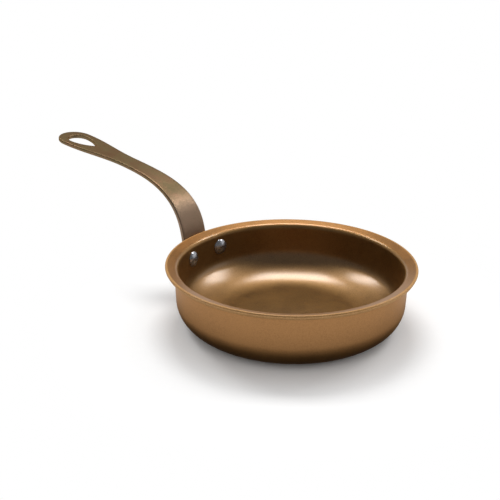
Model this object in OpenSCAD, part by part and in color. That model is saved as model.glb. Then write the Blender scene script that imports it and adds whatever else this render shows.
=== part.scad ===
// Shallow omelette pan: a round body with a tilted lip, and a cast
// strap handle held to its wall by two rivets side by side.
// The origin is the centre of the resting face, +Z is up, and the handle
// runs towards -X. The pan is alike on both sides of the XZ plane.

/* [Body] */
// Outside diameter of the lip
lip_d = 152; // [130:1:240]
// Height of the lip above the resting face
pan_h = 38.5; // [36:0.2:60]
// Thickness of the body's floor, wall and lip
body_t = 2.6; // [2:0.1:3.4]
// How far the lip stands out from the outside of the wall
lip_overhang = 5.4; // [4.8:0.1:8]
// Upward tilt of the lip
lip_tilt = 15; // [5:1:25]
// Radius of the bend between lip and wall, on the cooking side
lip_bend_r = 3.4; // [2:0.1:4.4]
// Radius of the hollow under the lip
under_lip_r = 0.8; // [0.4:0.1:1.6]
// Rounding of the lip's two edges
lip_edge_r = 0.9; // [0.4:0.1:0.95]
// How far the edge's lower rounding stands back from its upper one
lip_edge_lean = 0.5; // [0:0.1:1]
// Outward lean of the wall from upright
wall_draft = 2; // [1:0.5:8]
// Outside radius of the corner between wall and base
base_corner_r = 16.5; // [8:0.5:19]
// Radius of the wide bend at the floor's edge, on the cooking side
floor_bend_r = 36; // [24:1:44]
// Angle through which the wide bend turns
floor_bend_turn = 42; // [30:1:48]
// Radius of the tighter bend from there to the wall, on the cooking side
wall_bend_r = 11.5; // [8:0.5:13]

/* [Rivets] */
// Distance between the two rivets, across the inside of the wall
rivet_pitch = 27.5; // [26:0.5:40]
// Distance of the rivets below the top of the lip
rivet_drop = 10.8; // [10.4:0.1:13]
// Diameter of the shank
shank_d = 5; // [3:0.1:6]
// Diameter of the domed head on the cooking side
head_d = 10.3; // [8:0.1:12]
// Height of the domed head on the cooking side
head_h = 2.6; // [1.6:0.1:3.4]
// Diameter of the head set against the handle
set_head_d = 8.6; // [7:0.1:10]
// Height of the head set against the handle
set_head_h = 1.9; // [1.2:0.1:2.4]
// Height of the straight edge under each head's dome
head_edge_h = 0.5; // [0.2:0.1:0.8]
// Gap around a shank in its holes
shank_gap = 0.03; // [0:0.01:0.1]

/* [Handle root] */
// Thickness of the ears that the rivets pass through
ear_t = 3.4; // [2.4:0.1:4.4]
// Diameter of the ear round each rivet
ear_d = 13; // [12:0.1:14.4]
// Height of the web that joins the two ears
ear_web_h = 10.4; // [6:0.2:11.6]
// Gap between the handle and the lip
lip_gap = 0.3; // [0.1:0.05:1]
// Thickness of the heel under the lip, from a line inside the wall
heel_t = 6.6; // [5:0.1:8]
// Slope of the heel between the ears
heel_slope = 66; // [60:1:74]
// Gap between the heel and the heads set beside it
heel_gap = 0.8; // [0.4:0.1:2]

/* [Handle strap] */
// Length of the strap along its top face, from the lip to the tip
strap_len = 139.5; // [120:0.5:200]
// Thickness of the strap
strap_t = 2.6; // [2.2:0.1:3.6]
// Rounding of the strap's edges
strap_edge_r = 0.8; // [0.3:0.1:1.05]
// Width of the strap where it passes the lip
root_w = 21.6; // [16:0.1:24]
// Width of the strap at its neck
neck_w = 13.6; // [9:0.1:16]
// Width of the paddle at the strap's end
paddle_w = 24.4; // [20:0.1:28]
// Distance along the strap from the lip to the start of the neck
neck_at = 70; // [50:0.5:74]
// Length over which the neck keeps its width
neck_len = 5; // [0:0.5:10]
// Slope of the strap where it passes the lip
rise_slope = 79; // [70:1:82]
// Slope of the strap's straight outer part
arm_slope = 8.8; // [0:0.2:20]
// Distance along the strap over which it bends outwards
bend_len = 31.9; // [24:0.1:36]
// Sharpness of that bend, from gradual to sudden
bend_power = 1.6; // [1.2:0.1:2.4]

/* [Hanging hole] */
// Radius of the hole's round end
hole_r = 7.2; // [5:0.1:8]
// Distance from the centre of the round end to the hole's point
hole_point = 17.2; // [12:0.2:22]
// Distance from the centre of the round end to the tip of the strap
hole_from_tip = 14.4; // [12.5:0.1:18]

/* [Hidden] */
$fn = 96;
body_color = [0.56, 0.40, 0.25];
handle_color = [0.44, 0.35, 0.24];
rivet_color = [0.75, 0.75, 0.77];

// A point in a profile is a radius and a height, and so is a direction.
function along(angle) = [cos(angle), sin(angle)];
function cross_of(a, b) = a[0] * b[1] - a[1] * b[0];
// Where the line through p along u crosses the line through q along v.
function meet(p, u, q, v) = p + u * (cross_of(q - p, v) / cross_of(u, v));
// Smooth step from 0 to 1.
function ramp(x) = (1 - cos(180 * min(max(x, 0), 1))) / 2;

// The wall's outside passes wall_r where the lip's underside meets it.
lip_r = lip_d / 2;
wall_r = lip_r - lip_overhang;
lip_dir = along(lip_tilt);
lip_up = along(lip_tilt + 90);
wall_dir = along(90 - wall_draft);
wall_out = along(-wall_draft);

// Centres of the lip's two edge roundings. The upper one reaches lip_r and pan_h.
edge_gap = body_t - 2 * lip_edge_r;
edge_drop = (edge_gap + lip_edge_lean * sin(lip_tilt)) / cos(lip_tilt);
edge_out = [edge_drop, -lip_edge_lean] / norm([edge_drop, lip_edge_lean]);
upper_edge = [lip_r - lip_edge_r, pan_h - lip_edge_r];
lower_edge = upper_edge - [lip_edge_lean, edge_drop];
lip_top_at = upper_edge + lip_edge_r * lip_up;
lip_under_at = lower_edge - lip_edge_r * lip_up;

// Corners where the lip's faces would meet the wall's faces if left sharp.
under_corner = meet(lip_under_at, lip_dir, [wall_r, 0], [0, 1]);
inner_wall_foot = under_corner - body_t * wall_out;
inner_corner = meet(lip_top_at, lip_dir, inner_wall_foot, wall_dir);
function wall_at(z) = under_corner[0] + (z - under_corner[1]) * tan(wall_draft);
function inner_wall_at(z) = wall_at(z) - body_t / cos(wall_draft);

// Circles that touch lip and wall: one rounds the bend on the cooking side,
// the other hollows the corner under the lip.
bend_centre = meet(lip_top_at - lip_bend_r * lip_up, lip_dir,
                   inner_wall_foot + lip_bend_r * wall_out, wall_dir);
hollow_centre = meet(lip_under_at - under_lip_r * lip_up, lip_dir,
                     under_corner + under_lip_r * wall_out, wall_dir);

// Centre of the outside corner between wall and base.
corner_centre = [wall_at(base_corner_r) - base_corner_r / cos(wall_draft), base_corner_r];

// The inside turns through two bends, a wide one from the floor and a tighter
// one that touches the wall. They meet at bends_meet with one direction.
bends_out = along(floor_bend_turn - 90);
bend_bite = 0.002;
wall_bend_z = body_t + floor_bend_r * (1 - cos(floor_bend_turn)) + wall_bend_r * cos(floor_bend_turn);
wall_bend_centre = [inner_wall_at(wall_bend_z) - wall_bend_r / cos(wall_draft), wall_bend_z];
bends_meet = wall_bend_centre + wall_bend_r * bends_out;
floor_bend_centre = bends_meet - floor_bend_r * bends_out;

// Rivets stand square to the wall, placed from its inside.
rivet_z = pan_h - rivet_drop;
rivet_turn = asin(rivet_pitch / 2 / inner_wall_at(rivet_z));
shank_hole_d = shank_d + 2 * shank_gap;
grip_len = body_t + ear_t;

// The strap's path is the line down the middle of its top face. It has length
// 0 beside the lip, runs up to strap_len at the tip, and down to the heel's end.
path_step = 0.5;
heel_len = rivet_drop + ear_d / 2;
heel_bend_len = 5;
heel_round = 5;
heel_w = 2 * ((wall_at(rivet_z) + ear_t) * sin(rivet_turn) - set_head_d / 2 - heel_gap);
function slope_at(s) = s < 0
    ? heel_slope + (rise_slope - heel_slope) * exp(s / heel_bend_len)
    : arm_slope + (rise_slope - arm_slope) * exp(-pow(s / bend_len, bend_power));
path_n = ceil((strap_len + heel_len) / path_step) + 1;
path = [for (i = 0, s = -heel_len, p = [0, 0]; i <= path_n;
             i = i + 1, s = s + path_step, p = p + path_step * along(slope_at(s - path_step / 2)))
        [s, p]];
path_r = [for (q = path) [q[0], q[1][0]]];
path_z = [for (q = path) [q[0], q[1][1]]];
path_start = [lip_r + lip_gap - lookup(0, path_r), pan_h - lookup(0, path_z)];
function path_at(s) = path_start + [lookup(s, path_r), lookup(s, path_z)];

// Width and thickness along the path.
paddle_r = paddle_w / 2;
paddle_at = strap_len - paddle_r;
hole_at = strap_len - hole_from_tip;
function half_round(x, r) = x <= 0 ? 1 : sqrt(max(0, 1 - pow(x / r, 2)));
function strap_width(s) =
    s < 0 ? root_w + (heel_w - root_w) * ramp(-s / rivet_drop) :
    s < neck_at ? root_w + (neck_w - root_w) * ramp(s / neck_at) :
    (neck_w + (paddle_w - neck_w) * ramp((s - neck_at - neck_len) / (hole_at - neck_at - neck_len)))
        * half_round(s - paddle_at, paddle_r);
function tip_inset(s) = let (d = min(strap_len - s, strap_edge_r))
    strap_edge_r - sqrt(max(0, 2 * strap_edge_r * d - d * d));
function strap_thick(s) = s < 0
    ? (strap_t + (heel_t - strap_t) * ramp(-s / rivet_drop))
        * half_round(-s - heel_len + heel_round, heel_round)
    : strap_t - 2 * tip_inset(s);

// Rounded cross-section at path length s. Its points run round the strap, and
// no side of it is shorter than least_side or rounded over more than its half.
edge_steps = 3;
least_side = 0.6;
flat_share = 1 / 6;
function section(s) =
    let (w = max(strap_width(s), least_side), t = max(strap_thick(s), least_side), slope = slope_at(s),
         e = min(strap_edge_r, (1 - flat_share) / 2 * min(w, t)),
         top = path_at(s) - tip_inset(s) * along(slope + 90))
    [for (corner = [0:3]) for (i = [0:edge_steps])
        let (turn = 90 * (corner + i / edge_steps),
             y = (corner == 0 || corner == 3 ? 1 : -1) * (w / 2 - e) + e * cos(turn),
             d = (corner < 2 ? e : t - e) - e * sin(turn),
             p = top - d * along(slope + 90))
        [-p[0], y, p[1]]];

// Stations along the path, closer together at both rounded ends.
heel_steps = 6;
strap_steps = 44;
tip_steps = 9;
last_turn = 88;
stations = concat(
    [for (i = [0:heel_steps - 1]) -heel_len + heel_round * (1 - cos(90 * i / heel_steps))],
    [for (i = [0:heel_steps - 1]) (heel_round - heel_len) * (1 - i / heel_steps)],
    [for (i = [0:strap_steps - 1]) paddle_at * i / strap_steps],
    [for (i = [0:tip_steps]) paddle_at + paddle_r * sin(last_turn * i / tip_steps)]);

module sweep(rings) {
    n = len(rings[0]);
    last = len(rings) - 1;
    sides = [for (k = [0:last - 1]) for (i = [0:n - 1])
        [k * n + i, k * n + (i + 1) % n, (k + 1) * n + (i + 1) % n, (k + 1) * n + i]];
    first_cap = [for (i = [n - 1:-1:0]) i];
    last_cap = [for (i = [0:n - 1]) last * n + i];
    polyhedron(points = [for (ring = rings) each ring],
               faces = concat([first_cap], sides, [last_cap]), convexity = 6);
}

// Lower half of the disc that rounds the outside corner between wall and base.
module corner_disc() {
    intersection() {
        translate(corner_centre) circle(r = base_corner_r, $fn = 128);
        translate([corner_centre[0] - base_corner_r, 0]) square([2 * base_corner_r, base_corner_r]);
    }
}

// Slice of a disc between two directions. The hollow's slices reach bend_bite
// past the faces they run into, so that faces cross there instead of touching.
module disc_slice(centre, r, from, to) {
    reach = 1.1 * r / cos((to - from) / 2);
    intersection() {
        translate(centre) circle(r = r, $fn = 192);
        polygon([centre, centre + reach * along(from), centre + reach * along(to)]);
    }
}

module body_profile() {
    open_top = inner_corner + pan_h * wall_dir;
    bend_corner = inner_corner + (inner_corner - bend_centre) / 2;
    difference() {
        union() {
            polygon([[0, 0], [corner_centre[0], 0], corner_centre,
                     corner_centre + base_corner_r * wall_out,
                     hollow_centre - under_lip_r * wall_out, hollow_centre,
                     hollow_centre + under_lip_r * lip_up,
                     lip_under_at, lower_edge + lip_edge_r * edge_out,
                     upper_edge + lip_edge_r * edge_out, lip_top_at,
                     inner_corner, [0, inner_corner[1]]]);
            corner_disc();
            for (c = [upper_edge, lower_edge]) translate(c) circle(r = lip_edge_r, $fn = 48);
        }
        translate(hollow_centre) circle(r = under_lip_r, $fn = 64);
        polygon([[0, body_t], [floor_bend_centre[0], body_t], bends_meet,
                 wall_bend_centre + wall_bend_r * wall_out, open_top, [0, open_top[1]]]);
        disc_slice(floor_bend_centre - [0, bend_bite], floor_bend_r, -96, floor_bend_turn - 90);
        disc_slice(wall_bend_centre + 2 * bend_bite * bends_out, wall_bend_r, floor_bend_turn - 100, 2);
        difference() {
            polygon([bend_corner, bend_centre + lip_bend_r * lip_up, bend_centre,
                     bend_centre - lip_bend_r * wall_out]);
            translate(bend_centre) circle(r = lip_bend_r, $fn = 64);
        }
    }
}

// Draws along +Z, which points outwards through the wall at one rivet, from
// the wall's inside face. Side 1 is the left, seen from the handle's end.
module at_rivet(side) {
    rotate([0, 0, 180 - side * rivet_turn])
        translate([inner_wall_at(rivet_z), 0, rivet_z])
            rotate([0, 90 + wall_draft, 0])
                children();
}

module shank_holes() {
    for (side = [-1, 1]) at_rivet(side)
        translate([0, 0, -body_t]) cylinder(d = shank_hole_d, h = grip_len + 2 * body_t);
}

// Space that the pan takes up, with lip_gap round its lip.
module pan_space() {
    gap_under = lip_under_at - lip_gap * lip_up;
    gap_r = lip_r + lip_gap;
    under_out = meet(gap_under, lip_dir, [gap_r, 0], [0, 1]);
    under_in = meet(gap_under, lip_dir, under_corner, wall_dir);
    rotate_extrude($fn = 256)
        polygon([[0, 0], [wall_at(0), 0], under_in - under_lip_r * wall_dir,
                 under_in + under_lip_r * lip_dir, under_out, [gap_r, pan_h], [0, pan_h]]);
}

// Dome of height h on a straight edge, rising along +Z from a base of width d.
module dome(d, h) {
    cap_h = h - head_edge_h;
    sphere_r = (pow(d / 2, 2) + cap_h * cap_h) / (2 * cap_h);
    cylinder(d = d, h = head_edge_h);
    intersection() {
        translate([0, 0, h - sphere_r]) sphere(r = sphere_r);
        translate([0, 0, head_edge_h]) cylinder(d = d, h = h);
    }
}

module rivet(side) {
    seat = body_t / 4;
    color(rivet_color) {
        difference() {
            at_rivet(side) {
                translate([0, 0, seat]) mirror([0, 0, 1]) cylinder(d = head_d, h = seat);
                mirror([0, 0, 1]) dome(head_d, head_h);
            }
            rotate_extrude($fn = 256)
                polygon([[inner_wall_at(0), 0], [lip_r, 0], [lip_r, pan_h], [inner_wall_at(pan_h), pan_h]]);
        }
        at_rivet(side) {
            translate([0, 0, -head_h / 2]) cylinder(d = shank_d, h = head_h / 2 + grip_len + head_edge_h);
            translate([0, 0, grip_len]) dome(set_head_d, set_head_h);
        }
    }
}

module pan_body() {
    color(body_color)
    difference() {
        rotate_extrude($fn = 256) body_profile();
        shank_holes();
    }
}

// Two ears and the web between them, before the pan's space is cut away.
module ears() {
    for (side = [-1, 1]) at_rivet(side) cylinder(d = ear_d, h = grip_len);
    rotate([0, 0, 180 - rivet_turn]) rotate_extrude(angle = 2 * rivet_turn, $fn = 256)
        translate([0, rivet_z - ear_web_h / 2])
            polygon([[inner_wall_at(rivet_z), 0],
                     [wall_at(rivet_z - ear_web_h / 2) + ear_t, 0],
                     [wall_at(rivet_z + ear_web_h / 2) + ear_t, ear_web_h],
                     [inner_wall_at(rivet_z), ear_web_h]]);
}

// Rounded at one end and pointed at the other, where its two arched sides meet.
module teardrop() {
    side_r = (hole_point * hole_point + hole_r * hole_r) / (2 * hole_r);
    circle(r = hole_r);
    intersection() {
        translate([0, side_r - hole_r]) circle(r = side_r, $fn = 192);
        translate([0, hole_r - side_r]) circle(r = side_r, $fn = 192);
        translate([0, -hole_r]) square([hole_point, 2 * hole_r]);
    }
}

module hanging_hole() {
    p = path_at(hole_at);
    translate([-p[0], 0, p[1]]) rotate([0, slope_at(hole_at), 0])
        translate([0, 0, -2 * strap_t]) linear_extrude(height = 4 * strap_t) teardrop();
}

module handle() {
    color(handle_color)
    difference() {
        union() {
            sweep([for (s = stations) section(s)]);
            ears();
        }
        pan_space();
        shank_holes();
        hanging_hole();
    }
}

module rivet_left() { rivet(1); }
module rivet_right() { rivet(-1); }

pan_body();
handle();
rivet_left();
rivet_right();
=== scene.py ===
"""Dresses a shallow omelette pan: a copper-toned body, a cast strap handle and two rivets.

Lengths in the classes are millimetres and are turned into metres where a mesh is made. Only
the studio's lengths are metres. Angles are degrees.
The base rests on z = 0 and the handle runs towards -X.
"""
import logging
import math
from dataclasses import dataclass, field
from enum import Enum
from typing import Sequence, Union

import bmesh
import bpy
from mathutils import Matrix, Vector


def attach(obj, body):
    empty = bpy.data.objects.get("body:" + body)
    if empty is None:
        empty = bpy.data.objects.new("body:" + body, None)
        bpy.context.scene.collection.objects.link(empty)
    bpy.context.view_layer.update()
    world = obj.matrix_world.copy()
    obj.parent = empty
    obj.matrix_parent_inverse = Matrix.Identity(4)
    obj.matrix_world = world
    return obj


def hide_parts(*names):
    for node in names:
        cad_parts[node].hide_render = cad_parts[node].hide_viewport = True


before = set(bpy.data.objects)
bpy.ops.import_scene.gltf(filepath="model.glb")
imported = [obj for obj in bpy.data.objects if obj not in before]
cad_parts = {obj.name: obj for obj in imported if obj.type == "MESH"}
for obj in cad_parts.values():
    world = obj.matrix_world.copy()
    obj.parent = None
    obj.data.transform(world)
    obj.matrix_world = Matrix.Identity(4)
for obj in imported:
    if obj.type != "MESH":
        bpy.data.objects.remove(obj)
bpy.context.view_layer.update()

LOG = logging.getLogger("pan")
MM = 0.001
Flat = tuple[float, float]
Range = tuple[float, float]
Point = tuple[float, float, float]
Color = tuple[float, float, float]


# Shader expressions


class Link:
    """One output socket of a node, with operators that add Math nodes."""

    def __init__(self, graph: "Graph", socket: bpy.types.NodeSocket | None) -> None:
        """Wraps a socket.

        Args:
            graph: The graph that the socket belongs to.
            socket: The output socket, or none for a node without outputs.
        """
        self.graph = graph
        self.socket = socket

    def _math(self, operation: str, first: "Number", second: "Number") -> "Link":
        """Adds one Math node.

        Args:
            operation: The node's operation.
            first: The first value.
            second: The second value.

        Returns:
            The node's output.
        """
        return self.graph.add("ShaderNodeMath", {"operation": operation}, {0: first, 1: second})

    def __add__(self, other: "Number") -> "Link":
        """Returns self + other."""
        return self._math("ADD", self, other)

    __radd__ = __add__

    def __mul__(self, other: "Number") -> "Link":
        """Returns self * other."""
        return self._math("MULTIPLY", self, other)

    __rmul__ = __mul__

    def __sub__(self, other: "Number") -> "Link":
        """Returns self - other."""
        return self._math("SUBTRACT", self, other)

    def __rsub__(self, other: "Number") -> "Link":
        """Returns other - self."""
        return self._math("SUBTRACT", other, self)


Number = Union[Link, float]


class Graph:
    """The node tree of one material or world."""

    # Half the width of the soft change at the edge of a region.
    soft_mm = 0.3

    def __init__(self, owner: Union[bpy.types.Material, bpy.types.World]) -> None:
        """Empties the node tree of a material or world.

        Args:
            owner: The material or world.
        """
        self.owner = owner
        owner.use_nodes = True
        self.tree = owner.node_tree
        self.tree.nodes.clear()

    @classmethod
    def material(cls, name: str) -> "Graph":
        """Starts a new material with this name."""
        return cls(bpy.data.materials.new(name))

    def add(self, kind: str, settings: dict[str, object] | None = None,
            inputs: dict[Union[str, int], object] | None = None,
            output: Union[str, int] = 0) -> Link:
        """Adds a node, sets its options and then its sockets.

        Args:
            kind: The node's type.
            settings: Options of the node. The key stops gives a ramp's positions and colours.
            inputs: Values or links of its input sockets, by name or number.
            output: The output socket that is wanted.

        Returns:
            That output, or an empty link where the node has none.
        """
        node = self.tree.nodes.new(kind)
        for key, value in (settings or {}).items():
            if key == "stops":
                self._set_stops(node.color_ramp, value)
            else:
                setattr(node, key, value)
        for key, value in (inputs or {}).items():
            if isinstance(value, Link):
                self.tree.links.new(value.socket, node.inputs[key])
            else:
                node.inputs[key].default_value = value
        return Link(self, node.outputs[output] if node.outputs else None)

    @staticmethod
    def _set_stops(ramp: bpy.types.ColorRamp, stops: Sequence[tuple[float, Color]]) -> None:
        """Gives a ramp its stops.

        Args:
            ramp: The ramp.
            stops: Positions with their colours, from low to high.
        """
        while len(ramp.elements) < len(stops):
            ramp.elements.new(1.0)
        for element, (position, color) in zip(ramp.elements, stops):
            element.position = position
            element.color = (*color, 1.0)

    def place(self) -> Link:
        """Returns the object coordinates, in metres."""
        return self.add("ShaderNodeTexCoord", output="Object")

    def length(self, vector: Link) -> Link:
        """Returns a vector's length."""
        return self.add("ShaderNodeVectorMath", {"operation": "LENGTH"}, {0: vector}, "Value")

    def height(self, vector: Link) -> Link:
        """Returns a vector's Z."""
        return self.add("ShaderNodeSeparateXYZ", {}, {0: vector}, "Z")

    def ray(self, kind: str) -> Link:
        """Returns one output of the Light Path node."""
        return self.add("ShaderNodeLightPath", output=kind)

    def noise(self, size_mm: float, detail: float = 2.0, rough: float = 0.5) -> Link:
        """Adds cloudy noise.

        Args:
            size_mm: The rough size of one cloud.
            detail: How many finer layers it has.
            rough: How strong the finer layers are.

        Returns:
            The noise, around 0.5.
        """
        return self.add("ShaderNodeTexNoise", {"noise_dimensions": "3D"},
                        {"Vector": self.place(), "Scale": 1.0 / (size_mm * MM),
                         "Detail": detail, "Roughness": rough})

    def ramp(self, value: Link, stops: Sequence[tuple[float, Color]]) -> Link:
        """Turns a value into a colour.

        Args:
            value: The value to read.
            stops: Positions with their colours.

        Returns:
            The colour.
        """
        return self.add("ShaderNodeValToRGB", {"stops": stops}, {0: value}, "Color")

    def spread(self, value: Link, low: float, high: float,
               to_low: float = 0.0, to_high: float = 1.0) -> Link:
        """Maps the stretch from low to high onto another, smoothly and clamped.

        Args:
            value: The value to map.
            low: Start of the stretch.
            high: End of the stretch.
            to_low: What low becomes.
            to_high: What high becomes.

        Returns:
            The mapped value.
        """
        return self.add("ShaderNodeMapRange", {"interpolation_type": "SMOOTHSTEP"},
                        {"Value": value, "From Min": low, "From Max": high,
                         "To Min": to_low, "To Max": to_high})

    def over(self, edge_mm: float, value: Link, sign: float = 1.0) -> Link:
        """Tells whether a length passes an edge, with a soft change there.

        Args:
            edge_mm: The edge.
            value: The length in metres.
            sign: 1 to look for longer lengths and -1 for shorter ones.

        Returns:
            1 past the edge, 0 before it.
        """
        half = self.soft_mm * MM
        return self.spread((value - edge_mm * MM) * sign, -half, half)

    def blend(self, share: Number, first: Union[Link, Color],
              second: Union[Link, Color]) -> Link:
        """Mixes two colours.

        Args:
            share: How much of the second is used.
            first: The first colour.
            second: The second colour.

        Returns:
            The mixed colour.
        """
        pair = [c if isinstance(c, Link) else (*c, 1.0) for c in (first, second)]
        return self.add("ShaderNodeMix", {"data_type": "RGBA"},
                        {0: share, 6: pair[0], 7: pair[1]}, 2)

    def glow(self, strength: float) -> Link:
        """Returns a white emission shader."""
        return self.add("ShaderNodeEmission", {}, {"Strength": strength})

    def swap(self, share: Link, first: Link, second: Link) -> Link:
        """Mixes two shaders by the share of the second."""
        return self.add("ShaderNodeMixShader", {}, {0: share, 1: first, 2: second})

    def relief(self, height: Link, depth_mm: float) -> Link:
        """Turns a height into a normal.

        Args:
            height: The height, from 0 to 1.
            depth_mm: What a height of 1 stands for.

        Returns:
            The normal.
        """
        return self.add("ShaderNodeBump", {},
                        {"Height": height, "Strength": 1.0, "Distance": depth_mm * MM})

    def finish(self, values: dict[str, object]) -> bpy.types.Material:
        """Closes the graph with one Principled shader.

        Args:
            values: Values or links of the shader's sockets.

        Returns:
            The material.
        """
        surface = self.add("ShaderNodeBsdfPrincipled", {}, values)
        self.add("ShaderNodeOutputMaterial", {}, {"Surface": surface})
        return self.owner

    def mirrored(self) -> Link:
        """Returns 1 for glossy and transmission rays and 0 for all others."""
        glossy, through = self.ray("Is Glossy Ray"), self.ray("Is Transmission Ray")
        return self.spread(glossy + through, 0.0, 1.0)


def mixed(first: Link, second: Link, share: float) -> Link:
    """Returns the first value by this share and the second by the rest."""
    return first * share + second * (1.0 - share)


def metres(pair: Range) -> Range:
    """Turns two lengths from millimetres into metres."""
    return pair[0] * MM, pair[1] * MM


def dim(color: Color, share: float) -> Color:
    """Returns a colour with this share of its brightness."""
    return tuple(share * channel for channel in color)


# Finishes


@dataclass(frozen=True)
class Tone:
    """Three nearby colours that one finish drifts between, from low noise to high."""

    low: Color
    middle: Color
    high: Color
    positions: tuple[float, float, float] = (0.38, 0.50, 0.62)

    def stops(self) -> list[tuple[float, Color]]:
        """Returns the stops of a ramp."""
        return list(zip(self.positions, (self.low, self.middle, self.high)))


@dataclass(frozen=True)
class CopperFinish:
    """Copper-toned coating with a fine metallic grain, glossier where food goes."""

    # The cooking side's tones are darker and less red than the outside's: painted shade of the
    # bowl's inside, which also makes up for its heavier coat.
    outer: Tone = Tone((0.325, 0.155, 0.047), (0.380, 0.182, 0.056), (0.415, 0.200, 0.063))
    inner: Tone = Tone((0.255, 0.135, 0.043), (0.310, 0.166, 0.053), (0.345, 0.184, 0.060))
    # Painted highlight: this brighter colour on the lip's edge stands in for light that the edge
    # catches.
    edge: Color = (0.610, 0.370, 0.155)
    edge_tint: Color = (0.9, 0.7, 0.5)
    # Range that the roughness drifts in, and what the lip's edge adds to it.
    roughness: Range = (0.40, 0.46)
    edge_rougher: float = 0.25
    # Weight of the coat outside, and what the lip's top adds to it.
    outer_gloss: float = 0.30
    lip_gloss: float = 0.30
    coat_ior: float = 1.7
    coat_roughness: float = 0.23
    # Sizes of the noise.
    cloud_mm: float = 26.0
    fine_mm: float = 4.0
    grain_mm: float = 0.8
    # Shares of clouds over fine noise, of both over grain, and of grain in the relief.
    cloud_share: float = 0.6
    soft_share: float = 0.5
    grain_share: float = 0.6
    grain_depth_mm: float = 0.022
    # The noise between these makes the full drift of the roughness and the edge's colour.
    drift: Range = (0.35, 0.65)
    # How much of the painted highlight on the lip's edge shows, from the dark grains to the bright
    # ones.
    painted_edge_cover: Range = (0.6, 1.0)
    # Radius between the wall's two sides, height less radius between the corner's
    # two sides, and height between the floor's two sides.
    wall_mm: float = 69.4
    corner_mm: float = -53.0
    base_mm: float = 1.4
    # Heights between which the full gloss of the bowl's lower part ends.
    gloss_mm: Range = (15.0, 30.0)
    # Height where the lip starts, and radius where its edge starts.
    lip_mm: float = 36.2
    edge_mm: float = 74.6

    def masks(self, graph: Graph) -> tuple[Link, Link, Link]:
        """Tells the body's regions apart.

        Args:
            graph: The graph to add to.

        Returns:
            A mask of the cooking side, the weight of the gloss, and a mask of the lip's edge.
        """
        place = graph.place()
        flat = graph.add("ShaderNodeVectorMath", {"operation": "MULTIPLY"},
                         {0: place, 1: (1.0, 1.0, 0.0)})
        radius, height = graph.length(flat), graph.height(place)
        bowl = (graph.over(self.wall_mm, radius, -1.0)
                * graph.over(self.corner_mm, height - radius)
                * graph.over(self.base_mm, height))
        edge = graph.over(self.edge_mm, radius)
        low = graph.spread(height, *metres(self.gloss_mm), 1.0 - self.outer_gloss, 0.0)
        lip = graph.over(self.lip_mm, height) * (1.0 - edge)
        return bowl, bowl * low + lip * self.lip_gloss + self.outer_gloss, edge

    def material(self) -> bpy.types.Material:
        """Builds the coating's nodes.

        Returns:
            The material.
        """
        graph = Graph.material("copper_satin")
        inside, gloss, edge = self.masks(graph)
        clouds = graph.noise(self.cloud_mm, 3.0, 0.55)
        fine = graph.noise(self.fine_mm, 3.0, 0.6)
        grain = graph.noise(self.grain_mm, 2.0, 0.6)
        soft = mixed(clouds, fine, self.cloud_share)
        drift = mixed(soft, grain, self.soft_share)
        # Inside the bowl the darker tone paints shade.
        sides = graph.blend(inside, graph.ramp(drift, self.outer.stops()),
                            graph.ramp(drift, self.inner.stops()))
        # Share of the painted highlight on the lip's edge, more on the bright grains.
        cover = graph.spread(grain, *self.drift, *self.painted_edge_cover)
        rough = graph.spread(soft, *self.drift, *self.roughness)
        return graph.finish({
            "Base Color": graph.blend(edge * cover, sides, self.edge),
            "Metallic": 1.0,
            "Roughness": rough + edge * self.edge_rougher,
            "Specular Tint": (*self.edge_tint, 1.0),
            "Coat Weight": gloss,
            "Coat Roughness": self.coat_roughness,
            "Coat IOR": self.coat_ior,
            "Normal": graph.relief(mixed(grain, fine, self.grain_share), self.grain_depth_mm)})


@dataclass(frozen=True)
class BronzeFinish:
    """Cast bronze, aged to olive brown, with fine pitting and reddish clouds."""

    aged: Tone = Tone((0.262, 0.148, 0.090), (0.232, 0.158, 0.086), (0.196, 0.150, 0.080))
    edge_tint: Color = (0.7, 0.55, 0.4)
    # Painted light on the strap's foot: its lighter, redder colour, how much of it shows, and the
    # heights where it ends.
    root: Color = (0.300, 0.210, 0.150)
    foot_light_cover: float = 0.8
    foot_light_mm: Range = (54.0, 68.0)
    roughness: Range = (0.37, 0.52)
    # Sizes of the noise.
    cloud_mm: float = 9.0
    wave_mm: float = 5.0
    pit_mm: float = 0.9
    # Shares of clouds in the colour, of pits in the roughness and of pits in the relief.
    cloud_share: float = 0.6
    rough_share: float = 0.5
    pit_share: float = 0.4
    pit_depth_mm: float = 0.03
    # The noise between these makes the full drift of the roughness.
    drift: Range = (0.3, 0.7)

    def material(self) -> bpy.types.Material:
        """Builds the aged bronze's nodes.

        Returns:
            The material.
        """
        graph = Graph.material("bronze_cast")
        clouds = graph.noise(self.cloud_mm, 4.0, 0.6)
        pits = graph.noise(self.pit_mm, 3.0, 0.6)
        waves = graph.noise(self.wave_mm)
        aged = graph.ramp(mixed(clouds, pits, self.cloud_share), self.aged.stops())
        # Painted light: the foot near the rim is lighter and redder, fading out between these
        # heights.
        root = graph.spread(graph.height(graph.place()), *metres(self.foot_light_mm),
                            self.foot_light_cover, 0.0)
        rough = mixed(pits, clouds, self.rough_share)
        return graph.finish({
            "Base Color": graph.blend(root, aged, self.root),
            "Metallic": 1.0,
            "Roughness": graph.spread(rough, *self.drift, *self.roughness),
            "Specular Tint": (*self.edge_tint, 1.0),
            "Normal": graph.relief(mixed(pits, waves, self.pit_share), self.pit_depth_mm)})


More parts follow.
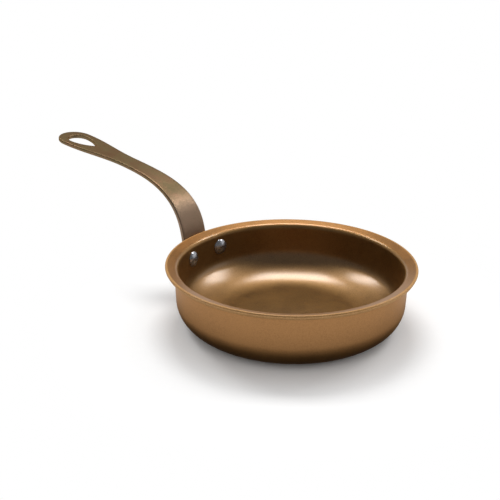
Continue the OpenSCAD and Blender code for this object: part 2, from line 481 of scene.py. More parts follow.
@dataclass(frozen=True)
class SteelFinish:
    """Smooth steel with faint marks from the setting tool."""

    color: Color = (0.52, 0.53, 0.57)
    # Share of the colour that is left in the marks.
    dull: float = 0.85
    roughness: Range = (0.23, 0.35)
    mark_mm: float = 1.6
    mark_depth_mm: float = 0.002
    # The noise between these makes the full change of colour and of roughness.
    color_drift: Range = (0.35, 0.65)
    rough_drift: Range = (0.35, 0.7)

    def material(self) -> bpy.types.Material:
        """Builds the steel's nodes.

        Returns:
            The material.
        """
        graph = Graph.material("rivet_steel")
        marks = graph.noise(self.mark_mm)
        tones = (dim(self.color, self.dull), self.color)
        return graph.finish({
            "Base Color": graph.ramp(marks, list(zip(self.color_drift, tones))),
            "Metallic": 1.0,
            "Roughness": graph.spread(marks, *self.rough_drift, *self.roughness),
            "Normal": graph.relief(marks, self.mark_depth_mm)})


@dataclass(frozen=True)
class PaperFinish:
    """White studio paper, lit round the pan and plain white further out.

    Metal mirrors it as plain white too, but close to the pan it mirrors a painted shadow, dark
    paper that only mirrored rays see.
    """

    color: Color = (0.93, 0.93, 0.93)
    # Share of the colour that is left in the fibres' shade.
    dull: float = 0.99
    fibre_mm: float = 3.0
    fibre_drift: Range = (0.3, 0.7)
    # Distances between which the camera's paper turns from lit to plain white.
    lit_mm: Range = (70.0, 150.0)
    # Distances between which the painted shadow that mirrored rays see fades from dark to white.
    shade_mm: Range = (68.0, 118.0)
    shade: float = 0.97

    def material(self) -> bpy.types.Material:
        """Builds the paper's nodes.

        Returns:
            The material.
        """
        graph = Graph.material("paper_white")
        tones = (dim(self.color, self.dull), self.color)
        tone = graph.ramp(graph.noise(self.fibre_mm), list(zip(self.fibre_drift, tones)))
        paper = graph.add("ShaderNodeBsdfDiffuse", {}, {"Color": tone})
        reach = graph.length(graph.place())
        mirrored = graph.mirrored()
        plain = graph.ray("Is Camera Ray") * graph.spread(reach, *metres(self.lit_mm))
        # Painted shadow: mirrored rays see the paper near the pan almost black.
        shaded = mirrored * graph.spread(reach, *metres(self.shade_mm), self.shade, 0.0)
        lit = graph.swap(plain + mirrored, paper, graph.glow(1.0))
        graph.add("ShaderNodeOutputMaterial", {},
                  {"Surface": graph.swap(shaded, lit, graph.glow(0.0))})
        return graph.owner


# Geometry helpers

# Radius in metres under which a point lies on the axis.
ON_AXIS = 1e-9


def toward(angle: float) -> Vector:
    """Returns the flat unit vector at an angle in degrees."""
    turn = math.radians(angle)
    return Vector((math.cos(turn), math.sin(turn)))


def meet(p: Vector, u: Vector, q: Vector, v: Vector) -> Vector:
    """Finds where the line through p along u crosses the line through q along v.

    Args:
        p: A point of the first line.
        u: Its direction.
        q: A point of the second line.
        v: Its direction.

    Returns:
        The crossing.
    """
    return p + u * ((q - p).cross(v) / u.cross(v))


def arc(centre: Vector, radius: float, start: float, end: float, steps: int) -> list[Vector]:
    """Lists the points of an arc.

    Args:
        centre: Its centre.
        radius: Its radius.
        start: The angle of its first point, in degrees.
        end: The angle of its last point.
        steps: How many pieces it has.

    Returns:
        steps + 1 points.
    """
    return [centre + radius * toward(start + (end - start) * i / steps) for i in range(steps + 1)]


def straight(a: Vector, b: Vector, steps: int) -> list[Vector]:
    """Lists the points strictly between two points, steps - 1 of them."""
    return [a.lerp(b, i / steps) for i in range(1, steps)]


def smooth_step(x: float) -> float:
    """Returns a cosine step from 0 to 1."""
    return (1.0 - math.cos(math.pi * min(max(x, 0.0), 1.0))) / 2.0


def new_piece(name: str, mesh: bmesh.types.BMesh, crease: float) -> bpy.types.Object:
    """Makes a shaded object from a mesh in metres.

    Args:
        name: The piece's name.
        mesh: Its mesh, which is freed.
        crease: Edges that bend by more than this many degrees stay sharp.

    Returns:
        The object, linked to the scene.
    """
    bmesh.ops.recalc_face_normals(mesh, faces=mesh.faces)
    data = bpy.data.meshes.new(name)
    mesh.to_mesh(data)
    mesh.free()
    data.shade_smooth()
    data.set_sharp_from_angle(angle=math.radians(crease))
    piece = bpy.data.objects.new(name, data)
    bpy.context.scene.collection.objects.link(piece)
    return piece


def lathe(profile: Sequence[Vector], segments: int) -> bmesh.types.BMesh:
    """Turns a profile of radius and height round the Z axis.

    Args:
        profile: Its points in millimetres. Points at radius 0 become one vertex each.
        segments: How many steps one turn has.

    Returns:
        A mesh in metres.
    """
    mesh = bmesh.new()
    rings: list[list[bmesh.types.BMVert]] = []
    for point in profile:
        radius, height = point[0] * MM, point[1] * MM
        count = 1 if radius < ON_AXIS else segments
        turns = [2.0 * math.pi * i / segments for i in range(count)]
        rings.append([mesh.verts.new((radius * math.cos(t), radius * math.sin(t), height))
                      for t in turns])
    for low, high in zip(rings, rings[1:]):
        for i in range(segments):
            j = (i + 1) % segments
            corners = [low[i % len(low)], low[j % len(low)],
                       high[j % len(high)], high[i % len(high)]]
            mesh.faces.new(list(dict.fromkeys(corners)))
    return mesh


# Sub-assemblies


@dataclass
class PanBody:
    """The body: floor, corner, wall and tilted lip."""

    lip_r: float = 75.99
    height: float = 38.5
    # Thickness of floor, wall and lip.
    sheet: float = 2.6
    overhang: float = 5.4
    tilt: float = 15.0
    # The bend between lip and wall on the cooking side, and the hollow under the lip.
    bend_r: float = 3.4
    hollow_r: float = 0.8
    edge_r: float = 0.9
    # How far the edge's lower rounding stands back from its upper one.
    edge_lean: float = 0.5
    draft: float = 2.0
    # The outside corner, and the two bends of the corner on the cooking side.
    corner_r: float = 16.5
    floor_bend_r: float = 36.0
    floor_bend_turn: float = 42.0
    wall_bend_r: float = 11.5
    # Steps of each stretch of the section.
    floor_steps: int = 14
    floor_bend_steps: int = 22
    wall_bend_steps: int = 12
    wall_steps: int = 10
    bend_steps: int = 14
    lip_steps: int = 5
    edge_steps: int = 10
    hollow_steps: int = 8
    corner_steps: int = 34
    segments: int = 288
    crease: float = 50.0
    finish: CopperFinish = field(default_factory=CopperFinish)

    def __post_init__(self) -> None:
        """Works out the points that the profile and the other pieces share."""
        self.lip_dir, self.lip_up = toward(self.tilt), toward(self.tilt + 90.0)
        self.wall_dir, self.wall_out = toward(90.0 - self.draft), toward(-self.draft)
        gap = self.sheet - 2.0 * self.edge_r
        tilt = math.radians(self.tilt)
        drop = (gap + self.edge_lean * math.sin(tilt)) / math.cos(tilt)
        self.upper_edge = Vector((self.lip_r - self.edge_r, self.height - self.edge_r))
        self.lower_edge = self.upper_edge - Vector((self.edge_lean, drop))
        self.lip_under = self.lower_edge - self.edge_r * self.lip_up
        self.under_corner = meet(self.lip_under, self.lip_dir,
                                 Vector((self.lip_r - self.overhang, 0.0)), Vector((0.0, 1.0)))

    def wall_at(self, height: float) -> float:
        """Returns the outside radius of the wall at a height."""
        rise = height - self.under_corner[1]
        return self.under_corner[0] + rise * math.tan(math.radians(self.draft))

    def across(self, length: float) -> float:
        """Returns how far a length square to the wall reaches along a radius."""
        return length / math.cos(math.radians(self.draft))

    def inner_wall_at(self, height: float) -> float:
        """Returns the inside radius of the wall at a height."""
        return self.wall_at(height) - self.across(self.sheet)

    def inside_bends(self) -> list[Vector]:
        """Draws the corner between the floor and the wall, on the cooking side.

        Returns:
            The points of its two bends, from the floor to the wall.
        """
        meeting = self.floor_bend_turn - 90.0
        turned = math.radians(self.floor_bend_turn)
        height = (self.sheet + self.floor_bend_r * (1.0 - math.cos(turned))
                  + self.wall_bend_r * math.cos(turned))
        radius = self.inner_wall_at(height) - self.across(self.wall_bend_r)
        wall_bend = Vector((radius, height))
        floor_bend = wall_bend + (self.wall_bend_r - self.floor_bend_r) * toward(meeting)
        return (arc(floor_bend, self.floor_bend_r, -90.0, meeting, self.floor_bend_steps)
                + arc(wall_bend, self.wall_bend_r, meeting, -self.draft, self.wall_bend_steps)[1:])

    def profile(self) -> list[Vector]:
        """Draws the body's section.

        Returns:
            Its points, from the floor's middle out over the lip and back below.
        """
        lip_top = self.upper_edge + self.edge_r * self.lip_up
        wall_foot = self.under_corner - self.sheet * self.wall_out
        bend = meet(lip_top - self.bend_r * self.lip_up, self.lip_dir,
                    wall_foot + self.bend_r * self.wall_out, self.wall_dir)
        hollow = meet(self.lip_under - self.hollow_r * self.lip_up, self.lip_dir,
                      self.under_corner + self.hollow_r * self.wall_out, self.wall_dir)
        corner = Vector((self.wall_at(self.corner_r) - self.across(self.corner_r), self.corner_r))
        edge_turn = math.degrees(math.atan2(-self.edge_lean,
                                            self.upper_edge[1] - self.lower_edge[1]))
        above, beside = 90.0 + self.tilt, 180.0 - self.draft
        inside = self.inside_bends()
        over = arc(bend, self.bend_r, beside, above, self.bend_steps)
        edge_top = arc(self.upper_edge, self.edge_r, above, edge_turn, self.edge_steps)
        edge_low = arc(self.lower_edge, self.edge_r, edge_turn, self.tilt - 90.0, self.edge_steps)
        under = arc(hollow, self.hollow_r, above, beside, self.hollow_steps)
        outside = arc(corner, self.corner_r, -self.draft, -90.0, self.corner_steps)
        floor, base = Vector((0.0, self.sheet)), Vector((0.0, 0.0))
        return ([floor] + straight(floor, inside[0], self.floor_steps)
                + inside + straight(inside[-1], over[0], self.wall_steps)
                + over + straight(over[-1], edge_top[0], self.lip_steps)
                + edge_top + edge_low + straight(edge_low[-1], under[0], self.lip_steps)
                + under + straight(under[-1], outside[0], self.wall_steps)
                + outside + straight(outside[-1], base, self.floor_steps) + [base])

    def build(self) -> bpy.types.Object:
        """Makes the body.

        Returns:
            The piece.
        """
        piece = new_piece("body_shell", lathe(self.profile(), self.segments), self.crease)
        piece.data.materials.append(self.finish.material())
        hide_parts("pan_body")
        return piece


class Side(Enum):
    """Which rivet it is, seen from the handle's end."""

    LEFT = 1
    RIGHT = -1


@dataclass
class Rivet:
    """One rivet: a domed head inside, a shank and a low head outside."""

    body: PanBody
    side: Side
    material: bpy.types.Material
    # Distance between the two rivets, and of their axes below the lip's top.
    pitch: float = 27.5
    drop: float = 10.8
    head_r: float = 5.15
    head_h: float = 2.6
    set_r: float = 4.3
    set_h: float = 1.9
    edge_h: float = 0.5
    # Bevel at both ends of a head's straight edge.
    soft: float = 0.12
    shank_r: float = 2.5
    # How far the domed head sinks into the curved wall.
    seat: float = 0.25
    # Thickness of the ear that the rivet holds.
    ear: float = 3.4
    head_steps: int = 16
    set_steps: int = 14
    segments: int = 72
    crease: float = 40.0

    @property
    def name(self) -> str:
        """Name of the piece."""
        return f"rivet_head_{self.side.name.lower()}"

    @property
    def node(self) -> str:
        """Name of the CAD node that the piece stands for."""
        return f"rivet_{self.side.name.lower()}"

    @property
    def height(self) -> float:
        """Height of the rivet's axis at the inside of the wall."""
        return self.body.height - self.drop

    @property
    def turn(self) -> float:
        """Angle in degrees between the rivet and the handle, seen from above."""
        return math.degrees(math.asin(self.pitch / 2.0 / self.body.inner_wall_at(self.height)))

    def placing(self) -> Matrix:
        """Works out where the rivet goes.

        Returns:
            The move from the rivet's frame, +Z outwards through the wall, to the pan's.
        """
        lift = Vector((self.body.inner_wall_at(self.height), 0.0, self.height)) * MM
        return (Matrix.Rotation(math.radians(180.0 - self.side.value * self.turn), 4, "Z")
                @ Matrix.Translation(lift)
                @ Matrix.Rotation(math.radians(90.0 + self.body.draft), 4, "Y"))

    def dome(self, radius: float, height: float, steps: int) -> list[Vector]:
        """Lists a domed head from its edge to its top.

        Args:
            radius: Radius at its edge.
            height: Its whole height.
            steps: How many pieces the dome has.

        Returns:
            Points of radius and height, with the edge slightly rounded.
        """
        cap = height - self.edge_h
        ball = (radius * radius + cap * cap) / (2.0 * cap)
        reach = math.degrees(math.asin(radius / ball))
        points = [Vector((radius - self.soft, 0.0)), Vector((radius, self.soft)),
                  Vector((radius, self.edge_h - self.soft))]
        for i in range(1, steps + 1):
            angle = math.radians(reach * (1.0 - i / steps))
            points.append(Vector((ball * math.sin(angle),
                                  height - ball + ball * math.cos(angle))))
        points[-1][0] = 0.0
        return points

    def build(self) -> bpy.types.Object:
        """Makes the rivet.

        Returns:
            The piece.
        """
        grip = self.body.sheet + self.ear
        inner = [Vector((p[0], -p[1]))
                 for p in self.dome(self.head_r, self.head_h, self.head_steps)]
        outer = [Vector((p[0], grip + p[1]))
                 for p in self.dome(self.set_r, self.set_h, self.set_steps)]
        shank = [Vector((self.head_r - self.soft, self.seat)), Vector((self.shank_r, self.seat)),
                 Vector((self.shank_r, grip))]
        mesh = lathe(inner[::-1] + shank + outer, self.segments)
        mesh.transform(self.placing())
        piece = new_piece(self.name, mesh, self.crease)
        piece.data.materials.append(self.material)
        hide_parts(self.node)
        return piece


@dataclass
class StrapPath:
    """The line down the middle of the strap's top face, from the lip outwards."""

    body: PanBody
    length: float = 139.5
    foot: float = 17.3
    lip_gap: float = 0.3
    # How far the path starts below the lip's top, which keeps the tip in the CAD's box.
    sink: float = 0.01
    # Slopes at the lip and of the outer part, and the bend between them.
    rise: float = 79.0
    arm: float = 8.8
    bend_len: float = 31.9
    bend_power: float = 1.6
    # Slope of the heel, and the length over which it sets in.
    heel_slope: float = 66.0
    heel_bend: float = 5.0
    # Step of the sum, and how far the path goes on past both ends.
    step: float = 0.5
    spare: float = 4.0

    def __post_init__(self) -> None:
        """Adds up the path from the lip outwards, and from the lip down to the heel."""
        start = Vector((self.body.lip_r + self.lip_gap, self.body.height - self.sink))
        self.points: dict[int, Vector] = {0: start}
        for i in range(int((self.length + self.spare) / self.step)):
            along = toward(self.slope((i + 0.5) * self.step))
            self.points[i + 1] = self.points[i] + self.step * along
        for i in range(int((self.foot + self.spare) / self.step)):
            along = toward(self.slope(-(i + 0.5) * self.step))
            self.points[-i - 1] = self.points[-i] - self.step * along

    def slope(self, s: float) -> float:
        """Works out how steep the path is.

        Args:
            s: A length along the path, below 0 in the heel.

        Returns:
            The slope in degrees there.
        """
        if s < 0.0:
            return self.heel_slope + (self.rise - self.heel_slope) * math.exp(s / self.heel_bend)
        fade = math.exp(-((s / self.bend_len) ** self.bend_power))
        return self.arm + (self.rise - self.arm) * fade

    def at(self, s: float) -> Vector:
        """Returns the path's radius and height at length s."""
        i = math.floor(s / self.step)
        return self.points[i].lerp(self.points[i + 1], s / self.step - i)

    def lift(self, s: float, y: float, depth: float) -> Vector:
        """Places a point of the flat strap.

        Args:
            s: Its length along the path.
            y: Its distance from the middle.
            depth: Its distance below the top face.

        Returns:
            The point in millimetres, in the pan's frame.
        """
        p = self.at(s) - depth * toward(self.slope(s) + 90.0)
        return Vector((-p[0], y, p[1]))


@dataclass
class Handle:
    """The cast handle: strap, heel and the two ears on the wall."""

    body: PanBody
    path: StrapPath
    rivet: Rivet
    thick: float = 2.6
    edge_r: float = 0.8
    hole_edge_r: float = 0.45
    # The strap where it passes the lip, and the heel below.
    root_w: float = 21.6
    heel_w: float = 19.74
    heel_t: float = 6.6
    heel_round: float = 5.0
    # Straight part that the heel's thin end keeps between its roundings.
    least_side: float = 0.05
    neck_w: float = 13.6
    paddle_w: float = 24.4
    neck_at: float = 70.0
    neck_len: float = 5.0
    # The hole: its round end, the distance to its point, and its place.
    hole_r: float = 7.2
    hole_point: float = 17.2
    hole_from_tip: float = 14.4
    # The two ears, the web between them and the gap to the wall.
    ear_d: float = 13.0
    web_h: float = 10.4
    ear_fillet: float = 4.0
    ear_edge_r: float = 0.7
    ear_gap: float = 0.02
    # Length along the strap where the mesh changes from rows to rings round the hole.
    ring_from: float = 99.0
    heel_rows: int = 14
    strap_rows: int = 66
    columns: int = 12
    ring_steps: int = 8
    # Steps of the paddle's outline, and what is left before its round end.
    paddle_step: float = 1.3
    paddle_rest: float = 1.5
    tip_steps: int = 24
    round_steps: int = 5
    # Steps of the ears' outline and face.
    ear_steps: int = 20
    fillet_steps: int = 5
    web_steps: int = 8
    fill_steps: int = 6
    crease: float = 42.0
    finish: BronzeFinish = field(default_factory=BronzeFinish)

    @property
    def rows(self) -> int:
        """How many rows of faces lie between the heel's end and the rings."""
        return self.heel_rows + self.strap_rows

    @property
    def hole_at(self) -> float:
        """Length along the strap of the hole's round centre."""
        return self.path.length - self.hole_from_tip

    def half_width(self, s: float) -> float:
        """Works out half the strap's width, without its round end.

        Args:
            s: A length along the strap.

        Returns:
            Half the width there.
        """
        if s < 0.0:
            width = self.root_w + (self.heel_w - self.root_w) * smooth_step(-s / self.rivet.drop)
        elif s < self.neck_at:
            width = self.root_w + (self.neck_w - self.root_w) * smooth_step(s / self.neck_at)
        else:
            widening = self.neck_at + self.neck_len
            reach = (s - widening) / (self.hole_at - widening)
            width = self.neck_w + (self.paddle_w - self.neck_w) * smooth_step(reach)
        return width / 2.0

    def thickness(self, s: float) -> float:
        """Works out how thick the strap and the heel are.

        Args:
            s: A length along the strap.

        Returns:
            The thickness there.
        """
        if s >= 0.0:
            return self.thick
        full = self.thick + (self.heel_t - self.thick) * smooth_step(-s / self.rivet.drop)
        over = max(-s - self.path.foot + self.heel_round, 0.0) / self.heel_round
        least = 2.0 * self.edge_r + self.least_side
        return max(full * math.sqrt(max(0.0, 1.0 - over * over)), least)

    def side_points(self) -> list[Flat]:
        """Draws the +Y side of the strap's outline.

        Returns:
            Its points as (s, y), from the heel's end to the tip's middle.
        """
        foot = self.path.foot
        stations = [-foot + i * foot / self.heel_rows for i in range(self.heel_rows)]
        stations += [i * self.ring_from / self.strap_rows for i in range(self.strap_rows + 1)]
        side = [(s, self.half_width(s)) for s in stations]
        radius = self.paddle_w / 2.0
        round_at = self.path.length - radius
        s = self.ring_from
        while s < round_at - self.paddle_rest:
            s += self.paddle_step
            side.append((s, self.half_width(s)))
        turns = [math.radians(90.0 * i / self.tip_steps) for i in range(self.tip_steps + 1)]
        side += [(round_at + radius * math.sin(a), radius * math.cos(a)) for a in turns]
        return side

    @staticmethod
    def inset(line: Sequence[Flat], amount: float) -> list[Flat]:
        """Moves the +Y side of an outline towards the middle, square to itself.

        Args:
            line: The side as (s, y).
            amount: How far it moves.

        Returns:
            The moved side, whose last point stays on the middle line.
        """
        moved = []
        last = len(line) - 1
        for i, (s, y) in enumerate(line):
            before, after = line[max(i - 1, 0)], line[min(i + 1, last)]
            along = Vector((after[0] - before[0], after[1] - before[1])).normalized()
            if i == last:
                moved.append((s - amount, 0.0))
            else:
                moved.append((s + amount * along[1], y - amount * along[0]))
        return moved

    def hole_reach(self, angle: float, grow: float) -> float:
        """Finds the hole's edge in one direction.

        Args:
            angle: Direction from its round centre in radians, 0 towards the tip.
            grow: How far the edge is moved outwards.

        Returns:
            The distance to the edge.
        """
        side_r = (self.hole_point ** 2 + self.hole_r ** 2) / (2.0 * self.hole_r)
        if math.cos(angle) >= 0.0:
            return self.hole_r + grow
        shift = (side_r - self.hole_r) * abs(math.sin(angle))
        apart = (side_r + grow) ** 2 - (side_r - self.hole_r) ** 2
        return -shift + math.sqrt(shift * shift + apart)

    def rounding(self, radius: float, thickness: float) -> list[Flat]:
        """Lists inset and depth round one edge of the strap, from the top face to the bottom face.

        Args:
            radius: Radius of both roundings.
            thickness: Thickness of the strap there.

        Returns:
            Pairs of inset and depth.
        """
        turns = [math.pi / 2.0 * i / self.round_steps for i in range(self.round_steps + 1)]
        upper = [(radius * (1.0 - math.sin(a)), radius * (1.0 - math.cos(a))) for a in turns]
        lower = [(inset, thickness - depth) for inset, depth in reversed(upper)]
        return upper + lower

    def ring(self, mesh: bmesh.types.BMesh, line: Sequence[Flat],
             depths: Sequence[float]) -> list:
        """Adds one loop of vertices round the strap's outline.

        Args:
            mesh: The mesh to add to.
            line: The +Y side of the loop.
            depths: The depth at each of its points.

        Returns:
            The vertices: along -Y from the heel to the tip, then back along +Y.
        """
        low = [self.path.lift(s, -y, d) for (s, y), d in zip(line, depths)]
        high = [self.path.lift(s, y, d) for (s, y), d in zip(line, depths)]
        return [mesh.verts.new(p * MM) for p in low + high[-2::-1]]

    def clear_of_lip(self, p: Vector) -> Vector:
        """Moves a point of the heel out of the lip's place, straight outwards.

        Args:
            p: The point in millimetres.

        Returns:
            The point, moved only where the lip is.
        """
        free_r = self.body.lip_r + self.path.lip_gap
        radius = math.hypot(p[0], p[1])
        if radius >= free_r or p[2] < self.body.lip_under[1] - self.path.lip_gap:
            return p
        return Vector((-math.sqrt(free_r * free_r - p[1] * p[1]), p[1], p[2]))

    def face_grid(self, mesh: bmesh.types.BMesh, rim: list, hole: list) -> list:
        """Fills one face of the strap between its rim and its hole.

        Args:
            mesh: The mesh to add to.
            rim: The rim's loop.
            hole: The hole's loop, in step with the loop round the paddle.

        Returns:
            The row of vertices at the heel's end.
        """
        count = len(rim)
        rows: list[list] = []
        for i in range(self.rows + 1):
            low, high = rim[i], rim[count - 1 - i]
            inner = [mesh.verts.new(low.co.lerp(high.co, j / self.columns))
                     for j in range(1, self.columns)]
            rows.append([low] + inner + [high])
        for row, after in zip(rows, rows[1:]):
            for j in range(self.columns):
                mesh.faces.new((row[j], row[j + 1], after[j + 1], after[j]))
        loop = rim[self.rows:count - self.rows] + rows[-1][-2:0:-1]
        before = loop
        for k in range(1, self.ring_steps + 1):
            share = k / self.ring_steps
            ring = hole if k == self.ring_steps else [
                mesh.verts.new(a.co.lerp(b.co, share)) for a, b in zip(loop, hole)]
            self.bridge(mesh, before, ring)
            before = ring
        return rows[0]

    @staticmethod
    def bridge(mesh: bmesh.types.BMesh, one: Sequence, other: Sequence) -> None:
        """Joins two loops of equal length with quads.

        Args:
            mesh: The mesh to add to.
            one: The first loop.
            other: The second loop.
        """
        for i in range(len(one)):
            j = (i + 1) % len(one)
            mesh.faces.new((one[i], one[j], other[j], other[i]))

    def hole_loops(self, mesh: bmesh.types.BMesh, side: Sequence[Flat]) -> list[list]:
        """Adds the loops of the hole, in step with the loop round the paddle.

        Args:
            mesh: The mesh to add to.
            side: The outline's +Y side.

        Returns:
            The loops, from the top face to the bottom face.
        """
        outer = self.inset(side, self.edge_r)
        loop = [(s, -y) for s, y in outer[self.rows:]]
        loop += [(s, y) for s, y in outer[-2:self.rows - 1:-1]]
        s_row, y_row = outer[self.rows]
        loop += [(s_row, y_row * (1.0 - 2.0 * j / self.columns)) for j in range(1, self.columns)]
        turns = [math.atan2(y, s - self.hole_at) for s, y in loop]
        holes = []
        for grow, depth in self.rounding(self.hole_edge_r, self.thick):
            spots = [(self.hole_reach(t, grow), t) for t in turns]
            holes.append([mesh.verts.new(self.path.lift(self.hole_at + r * math.cos(t),
                                                        r * math.sin(t), depth) * MM)
                          for r, t in spots])
        return holes

    def strap(self) -> bmesh.types.BMesh:
        """Makes strap and heel.

        Returns:
            One closed mesh in metres.
        """
        mesh = bmesh.new()
        side = self.side_points()
        rims = []
        for layer in zip(*[self.rounding(self.edge_r, self.thickness(s)) for s, _ in side]):
            line = self.inset(side, layer[0][0])
            rims.append(self.ring(mesh, line, [depth for _, depth in layer]))
        holes = self.hole_loops(mesh, side)
        top_end = self.face_grid(mesh, rims[0], holes[0])
        low_end = self.face_grid(mesh, rims[-1], holes[-1])
        for one, other in zip(holes, holes[1:]):
            self.bridge(mesh, one, other)
        for one, other in zip(rims, rims[1:]):
            for i in range(len(one) - 1):
                mesh.faces.new((one[i], one[i + 1], other[i + 1], other[i]))
        right, left = [rim[0] for rim in rims], [rim[-1] for rim in rims]
        mesh.faces.new(top_end + left[1:-1] + low_end[::-1] + right[-2:0:-1])
        for vertex in mesh.verts:
            vertex.co = self.clear_of_lip(vertex.co / MM) * MM
        bmesh.ops.recalc_face_normals(mesh, faces=mesh.faces)
        return mesh

    def ear_outline(self) -> list[Flat]:
        """Draws the outline of the ears and their web.

        Returns:
            Its points, as distance round the wall and height above the rivets.
        """
        across = math.radians(self.rivet.turn) * self.body.wall_at(self.rivet.height)
        fillet, rise = self.ear_fillet, self.web_h / 2.0 + self.ear_fillet
        apart = self.ear_d / 2.0 + fillet
        reach = math.sqrt(apart ** 2 - rise ** 2)
        turn = math.degrees(math.asin(rise / apart))
        ear = arc(Vector((across, 0.0)), self.ear_d / 2.0, 0.0, 180.0 - turn, self.ear_steps)
        neck = arc(Vector((across - reach, rise)), fillet, -turn, -90.0, self.fillet_steps)
        upper = ear + neck
        mirrored = [Vector((-p[0], p[1])) for p in reversed(upper)]
        top = upper + straight(upper[-1], mirrored[0], self.web_steps) + mirrored
        bottom = [Vector((p[0], -p[1])) for p in reversed(top[1:-1])]
        return [(p[0], p[1]) for p in top + bottom]

    def on_wall(self, across: float, height: float, out: float) -> Vector:
        """Places a point of the ears on the wall's outside.

        Args:
            across: Distance round the wall from the middle.
            height: Height above the rivets.
            out: Distance outwards from the wall.

        Returns:
            The point in millimetres.
        """
        z = self.rivet.height + height
        radius = self.body.wall_at(z) + out
        turn = math.pi - across / self.body.wall_at(self.rivet.height)
        return Vector((radius * math.cos(turn), radius * math.sin(turn), z))

    def ears(self) -> bmesh.types.BMesh:
        """Makes the ears and their web as one plate on the wall.

        Returns:
            One closed mesh in metres.
        """
        mesh = bmesh.new()
        outline = self.ear_outline()
        edge, square = self.ear_edge_r, self.rivet.ear - self.ear_edge_r
        turns = [math.pi / 2.0 * i / self.round_steps for i in range(1, self.round_steps + 1)]
        levels = [(0.0, self.ear_gap), (0.0, square)]
        levels += [(edge * (1.0 - math.cos(a)), square + edge * math.sin(a)) for a in turns]
        loops = []
        count = len(outline)
        for inset, out in levels:
            loop = []
            for i, (u, v) in enumerate(outline):
                before, after = outline[i - 1], outline[(i + 1) % count]
                along = Vector((after[0] - before[0], after[1] - before[1])).normalized()
                point = Vector((u, v)) + inset * Vector((-along[1], along[0]))
                loop.append(mesh.verts.new(self.on_wall(point[0], point[1], out) * MM))
            loops.append(loop)
        for one, other in zip(loops, loops[1:]):
            self.bridge(mesh, one, other)
        for loop, out in ((loops[0], levels[0][1]), (loops[-1], levels[-1][1])):
            self.fill(mesh, loop, out)
        bmesh.ops.recalc_face_normals(mesh, faces=mesh.faces)
        return mesh

    def fill(self, mesh: bmesh.types.BMesh, loop: list, out: float) -> None:
        """Closes one face of the ear plate with quads between its upper and lower edge.

        Args:
            mesh: The mesh to add to.
            loop: Its edge, from the middle of one end round the top and back along the bottom.
            out: How far the face lies from the wall.
        """
        count = len(loop)
        half = count // 2
        upper, lower = loop[:half + 1], [loop[0]] + loop[:half - 1:-1]
        steps = self.fill_steps
        columns = []
        for i in range(half + 1):
            a, b = upper[i], lower[i]
            if a is b:
                columns.append([a] * (steps + 1))
                continue
            inner = []
            for k in range(1, steps):
                p = a.co.lerp(b.co, k / steps)
                grow = (self.body.wall_at(p[2] / MM) + out) * MM / math.hypot(p[0], p[1])
                inner.append(mesh.verts.new((p[0] * grow, p[1] * grow, p[2])))
            columns.append([a] + inner + [b])
        for one, other in zip(columns, columns[1:]):
            for k in range(steps):
                corners = list(dict.fromkeys((one[k], one[k + 1], other[k + 1], other[k])))
                if len(corners) > 2:
                    mesh.faces.new(corners)

    def build(self) -> bpy.types.Object:
        """Makes the handle as one closed mesh.

        Returns:
            The piece.
        """
        piece = new_piece("handle_cast", self.strap(), self.crease)
        plate = new_piece("ear_plate", self.ears(), self.crease)
        union = piece.modifiers.new("union", "BOOLEAN")
        union.operation, union.solver, union.object = "UNION", "EXACT", plate
        bpy.context.view_layer.update()
        evaluated = piece.evaluated_get(bpy.context.evaluated_depsgraph_get())
        joined = bpy.data.meshes.new_from_object(evaluated)
        piece.modifiers.clear()
        piece.data = joined
        joined.name = "handle_cast"
        bpy.data.objects.remove(plate)
        joined.shade_smooth()
        joined.set_sharp_from_angle(angle=math.radians(self.crease))
        joined.materials.clear()
        joined.materials.append(self.finish.material())
        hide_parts("handle")
        return piece


# Studio


@dataclass(frozen=True)
class Softbox:
    """One rectangular lamp that faces a point of the pan, with its lengths in metres."""

    name: str
    azimuth: float
    elevation: float
    distance: float
    size: Flat
    power: float
    aim: Point = (0.0, 0.0, 0.02)

    def build(self) -> None:
        """Adds the lamp."""
        lamp = bpy.data.lights.new(self.name, "AREA")
        lamp.shape = "RECTANGLE"
        lamp.size, lamp.size_y = self.size
        lamp.energy = self.power
        holder = bpy.data.objects.new(self.name, lamp)
        turn, rise = math.radians(self.azimuth), math.radians(self.elevation)
        outward = Vector((math.cos(rise) * math.cos(turn), math.cos(rise) * math.sin(turn),
                          math.sin(rise)))
        holder.location = Vector(self.aim) + self.distance * outward
        holder.rotation_euler = (-outward).to_track_quat("-Z", "Y").to_euler()
        bpy.context.scene.collection.objects.link(holder)


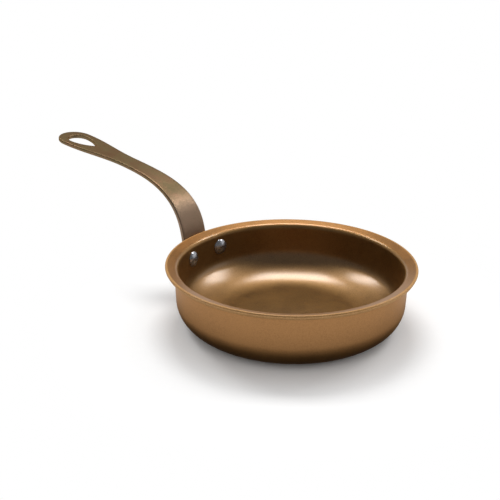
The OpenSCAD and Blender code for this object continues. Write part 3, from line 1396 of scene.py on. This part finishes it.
@dataclass
class Studio:
    """Floor, backdrop light, lamps and camera, with lengths in metres."""

    floor_size: float = 14.0
    floor_cells: int = 4
    # The paper lies this far under the base, so that the two faces don't meet.
    floor_drop: float = 0.00005
    # Light of the sky on the pan, and what metal mirrors of it away from the backdrop.
    sky: float = 0.70
    dark: float = 0.15
    # Azimuth of the front, with the backdrop on the far side of the pan; how squarely a
    # mirrored ray has to point at the backdrop; and the ray's Z between which it ends.
    front: float = -53.2
    facing: Range = (0.2, 0.7)
    top: Range = (0.15, 0.42)
    paper: PaperFinish = field(default_factory=PaperFinish)
    boxes: tuple[Softbox, ...] = (
        Softbox("left_box", 178.8, 45.0, 0.9, (0.21, 0.34), 1.7),
        Softbox("right_box", 68.8, 44.0, 0.9, (0.34, 0.24), 1.8),
        Softbox("back_box", 126.8, 65.5, 0.9, (0.40, 0.26), 3.2),
        Softbox("side_card", 46.8, 16.0, 1.0, (0.80, 0.60), 0.75),
    )
    # The camera: focal length and sensor in millimetres, and its roll in degrees.
    lens: float = 61.073
    sensor: float = 36.0
    nearest: float = 0.01
    place: Point = (0.265663, -0.393862, 0.234134)
    aim: Point = (-0.013930, -0.022757, 0.049450)
    roll: float = 0.142

    def world(self) -> None:
        """Gives the scene an even sky, which the camera sees as white.

        Metal mirrors it as white on the low backdrop behind the pan and as dark elsewhere.
        """
        world = bpy.data.worlds.new("studio_sky")
        graph = Graph(world)
        turn = math.radians(self.front)
        ray = graph.add("ShaderNodeTexCoord", output="Generated")
        facing = graph.add("ShaderNodeVectorMath", {"operation": "DOT_PRODUCT"},
                           {0: ray, 1: (-math.cos(turn), -math.sin(turn), 0.0)}, "Value")
        backdrop = (graph.spread(facing, *self.facing)
                    * graph.spread(graph.height(ray), *self.top, 1.0, 0.0))
        camera, mirrored = graph.ray("Is Camera Ray"), graph.mirrored()
        strength = (camera + mirrored * (backdrop * (1.0 - self.dark) + self.dark)
                    + (1.0 - camera - mirrored) * self.sky)
        sky = graph.add("ShaderNodeBackground", {},
                        {"Color": (1.0, 1.0, 1.0, 1.0), "Strength": strength})
        graph.add("ShaderNodeOutputWorld", {}, {"Surface": sky})
        bpy.context.scene.world = world

    def floor(self) -> None:
        """Lays a large sheet of white paper under the pan."""
        mesh = bmesh.new()
        bmesh.ops.create_grid(mesh, x_segments=self.floor_cells, y_segments=self.floor_cells,
                              size=self.floor_size / 2.0)
        piece = new_piece("paper_floor", mesh, crease=60.0)
        piece.location.z = -self.floor_drop
        piece.data.materials.append(self.paper.material())

    def camera(self) -> None:
        """Adds the camera at the photograph's viewing angle."""
        data = bpy.data.cameras.new("view")
        data.sensor_width = self.sensor
        data.lens = self.lens
        data.clip_start = self.nearest
        holder = bpy.data.objects.new("view", data)
        look = (Vector(self.aim) - Vector(self.place)).normalized()
        turn = look.to_track_quat("-Z", "Y").to_matrix().to_4x4()
        holder.matrix_world = (Matrix.Translation(Vector(self.place)) @ turn
                               @ Matrix.Rotation(math.radians(self.roll), 4, "Z"))
        bpy.context.scene.collection.objects.link(holder)
        bpy.context.scene.camera = holder

    def build(self) -> None:
        """Adds everything round the pan."""
        bpy.context.scene.view_settings.view_transform = "Standard"
        self.world()
        self.floor()
        self.camera()
        for box in self.boxes:
            box.build()


def main() -> None:
    """Builds the pan and its studio."""
    logging.basicConfig(level=logging.INFO, format="%(name)s: %(message)s")
    Studio().build()
    body = PanBody()
    steel = SteelFinish().material()
    rivets = [Rivet(body, side, steel) for side in Side]
    handle = Handle(body, StrapPath(body), rivets[0])
    for part in (body, *rivets, handle):
        piece = part.build()
        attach(piece, "root")
        LOG.info("%s: %d faces", piece.name, len(piece.data.polygons))


if __name__ == "__main__":
    main()
